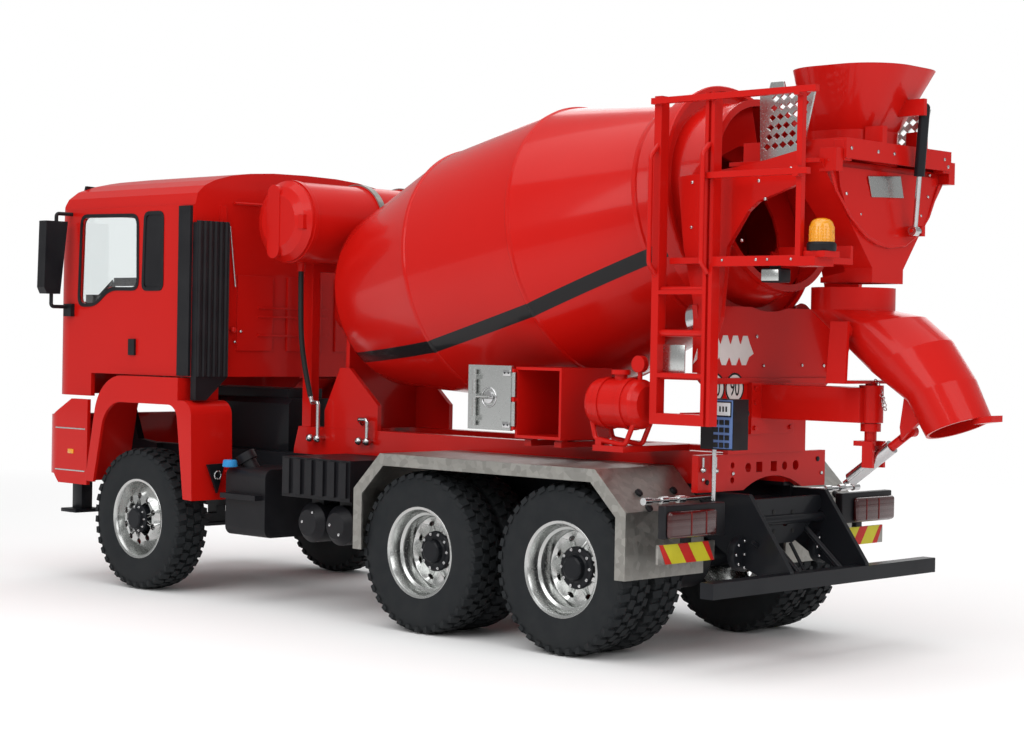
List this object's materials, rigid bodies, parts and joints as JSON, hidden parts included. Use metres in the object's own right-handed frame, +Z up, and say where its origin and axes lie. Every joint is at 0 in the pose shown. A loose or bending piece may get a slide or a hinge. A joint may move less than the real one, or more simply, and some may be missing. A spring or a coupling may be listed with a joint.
{
  "type": "toy cement mixer",
  "caption": "Detailed scale model of a three-axle concrete mixer truck with turning drum, charging hopper, swinging discharge chute, tilting cab and rolling wheels.",
  "frame": {"origin": "centre of the bounding box in plan, on the ground under the tyres", "axes": "+X to the truck's left, +Y to its rear, +Z up; the cab faces -Y"},
  "size_m": [0.222, 0.6436, 0.292],
  "materials": {
    "red_paint": "gloss",
    "black_chassis": "satin",
    "black_plastic": "matte",
    "galvanised": "satin",
    "silver": "polished",
    "bright_steel": "polished",
    "tyre": "matte",
    "rubber": "matte",
    "glass": "clear",
    "lamp_amber": "clear",
    "lamp_red": "gloss",
    "interior": "matte"
  },
  "bodies": {
    "chassis": {"chassis_frame": "black_chassis", "subframe": "red_paint", "axle_housings": "black_chassis", "leaf_springs": "black_chassis", "engine_gearbox": "black_chassis", "battery_and_air_tanks": "black_plastic", "side_tanks": "black_plastic", "front_bumper": "red_paint", "front_mudguards": "red_paint", "fenders": "galvanised", "underrun_guard": "black_chassis", "tail_lamps": "lamp_red", "rear_crossplate": "red_paint", "drum_stand_front": "red_paint", "drum_gearbox": "red_paint", "rear_panel": "red_paint", "chute_beam": "red_paint", "ladder": "red_paint", "platform_rail": "red_paint", "screens": "silver", "lamps": "lamp_amber", "control_box": "black_plastic", "toolbox": "red_paint", "side_reservoir": "red_paint", "water_tank": "red_paint", "water_hose": "rubber", "hydraulic_pipes": "bright_steel", "collector": "red_paint"},
    "cab": {"cab_shell": "red_paint", "cab_glazing": "glass", "cab_trim": "black_plastic", "cab_interior": "interior", "mirrors": "black_plastic"},
    "drum": {"drum": "red_paint", "drum_blades": "red_paint"},
    "roller_left": {"roller_left": "bright_steel"},
    "roller_right": {"roller_right": "bright_steel"},
    "knuckle_left": {"knuckle_left": "black_chassis"},
    "knuckle_right": {"knuckle_right": "black_chassis"},
    "wheel_front_left": {"tyre_front_left": "tyre", "rim_front_left": "silver"},
    "wheel_front_right": {"tyre_front_right": "tyre", "rim_front_right": "silver"},
    "wheel_middle_left": {"tyres_middle_left": "tyre", "rim_middle_left": "silver"},
    "wheel_middle_right": {"tyres_middle_right": "tyre", "rim_middle_right": "silver"},
    "wheel_rear_left": {"tyres_rear_left": "tyre", "rim_rear_left": "silver"},
    "wheel_rear_right": {"tyres_rear_right": "tyre", "rim_rear_right": "silver"},
    "toolbox_door": {"toolbox_door": "silver"},
    "hopper": {"hopper": "red_paint"},
    "strut_rod": {"strut_rod": "bright_steel"},
    "strut_tube": {"strut_tube": "black_chassis"},
    "chute_arm": {"chute_arm": "red_paint"},
    "chute": {"chute": "red_paint"},
    "jack_tube": {"jack_tube": "bright_steel"},
    "jack_rod": {"jack_rod": "red_paint"},
    "jack_crank": {"jack_crank": "bright_steel"}
  },
  "joints": [
    {"name": "cab_tilt", "type": "hinge", "parent": "chassis", "child": "cab", "pos_m": [0, -0.3133, 0.1195], "axis": [1, 0, 0], "range_deg": [0, 50]},
    {"name": "drum_spin", "type": "hinge", "parent": "chassis", "child": "drum", "pos_m": [0, 0.0052, 0.197], "axis": [0, 0.9816, 0.1908], "continuous": true},
    {"name": "roller_left_spin", "type": "hinge", "parent": "chassis", "child": "roller_left", "pos_m": [0.03911, 0.17866, 0.16937], "axis": [0, 0.9816, 0.1908], "continuous": true},
    {"name": "roller_right_spin", "type": "hinge", "parent": "chassis", "child": "roller_right", "pos_m": [-0.03911, 0.17866, 0.16937], "axis": [0, 0.9816, 0.1908], "continuous": true},
    {"name": "steer_left", "type": "hinge", "parent": "chassis", "child": "knuckle_left", "pos_m": [0.063, -0.2198, 0.0433], "axis": [0, 0, 1], "range_deg": [-20, 20]},
    {"name": "steer_right", "type": "hinge", "parent": "chassis", "child": "knuckle_right", "pos_m": [-0.063, -0.2198, 0.0433], "axis": [0, 0, 1], "range_deg": [-20, 20]},
    {"name": "wheel_front_left_spin", "type": "hinge", "parent": "knuckle_left", "child": "wheel_front_left", "pos_m": [0.08, -0.2198, 0.0433], "axis": [1, 0, 0], "continuous": true},
    {"name": "wheel_front_right_spin", "type": "hinge", "parent": "knuckle_right", "child": "wheel_front_right", "pos_m": [-0.08, -0.2198, 0.0433], "axis": [1, 0, 0], "continuous": true},
    {"name": "wheel_middle_left_spin", "type": "hinge", "parent": "chassis", "child": "wheel_middle_left", "pos_m": [0.08, 0.0302, 0.0433], "axis": [1, 0, 0], "continuous": true},
    {"name": "wheel_middle_right_spin", "type": "hinge", "parent": "chassis", "child": "wheel_middle_right", "pos_m": [-0.08, 0.0302, 0.0433], "axis": [1, 0, 0], "continuous": true},
    {"name": "wheel_rear_left_spin", "type": "hinge", "parent": "chassis", "child": "wheel_rear_left", "pos_m": [0.08, 0.1312, 0.0433], "axis": [1, 0, 0], "continuous": true},
    {"name": "wheel_rear_right_spin", "type": "hinge", "parent": "chassis", "child": "wheel_rear_right", "pos_m": [-0.08, 0.1312, 0.0433], "axis": [1, 0, 0], "continuous": true},
    {"name": "toolbox_door_hinge", "type": "hinge", "parent": "chassis", "child": "toolbox_door", "pos_m": [0.0765, 0.084, 0.125], "axis": [0, 0, 1], "range_deg": [0, 180]},
    {"name": "hopper_tilt", "type": "hinge", "parent": "chassis", "child": "hopper", "pos_m": [0, 0.2617, 0.247], "axis": [-1, 0, 0], "range_deg": [0, 50]},
    {"name": "strut_tilt", "type": "hinge", "parent": "chassis", "child": "strut_rod", "pos_m": [-0.013, 0.2667, 0.214], "axis": [-1, 0, 0], "range_deg": [0, 25]},
    {"name": "strut_slide", "type": "slide", "parent": "strut_rod", "child": "strut_tube", "axis": [0.0838, 0.1257, 0.9885], "range_m": [-0.015, 0]},
    {"name": "chute_swing", "type": "hinge", "parent": "chassis", "child": "chute_arm", "pos_m": [0, 0.2522, 0.137], "axis": [0, 0, 1], "range_deg": [-70, 70]},
    {"name": "chute_tilt", "type": "hinge", "parent": "chute_arm", "child": "chute", "pos_m": [0, 0.2502, 0.165], "axis": [1, 0, 0], "range_deg": [-3, 9]},
    {"name": "jack_tilt", "type": "hinge", "parent": "chute_arm", "child": "jack_tube", "pos_m": [0, 0.2542, 0.101], "axis": [1, 0, 0], "range_deg": [-3, 2]},
    {"name": "jack_slide", "type": "slide", "parent": "jack_tube", "child": "jack_rod", "axis": [0, 0.8046, 0.5939], "range_m": [-0.0045, 0.0095]},
    {"name": "crank_turn", "type": "hinge", "parent": "jack_tube", "child": "jack_crank", "pos_m": [0, 0.2542, 0.101], "axis": [0, 0.8046, 0.5939], "range_deg": [-400, 200]}
  ],
  "couplings": [
    {"joint": "roller_left_spin", "follows": "drum_spin", "ratio": -6.9556},
    {"joint": "roller_right_spin", "follows": "drum_spin", "ratio": -6.9556},
    {"joint": "steer_right", "follows": "steer_left", "ratio": 1},
    {"joint": "strut_tilt", "follows": "hopper_tilt", "ratio": 0.4504},
    {"joint": "strut_slide", "follows": "hopper_tilt", "m_per_rad": -0.015102},
    {"joint": "jack_tilt", "follows": "chute_tilt", "ratio": -0.2338},
    {"joint": "jack_slide", "follows": "chute_tilt", "m_per_rad": 0.054057},
    {"joint": "crank_turn", "follows": "chute_tilt", "ratio": -42}
  ]
}
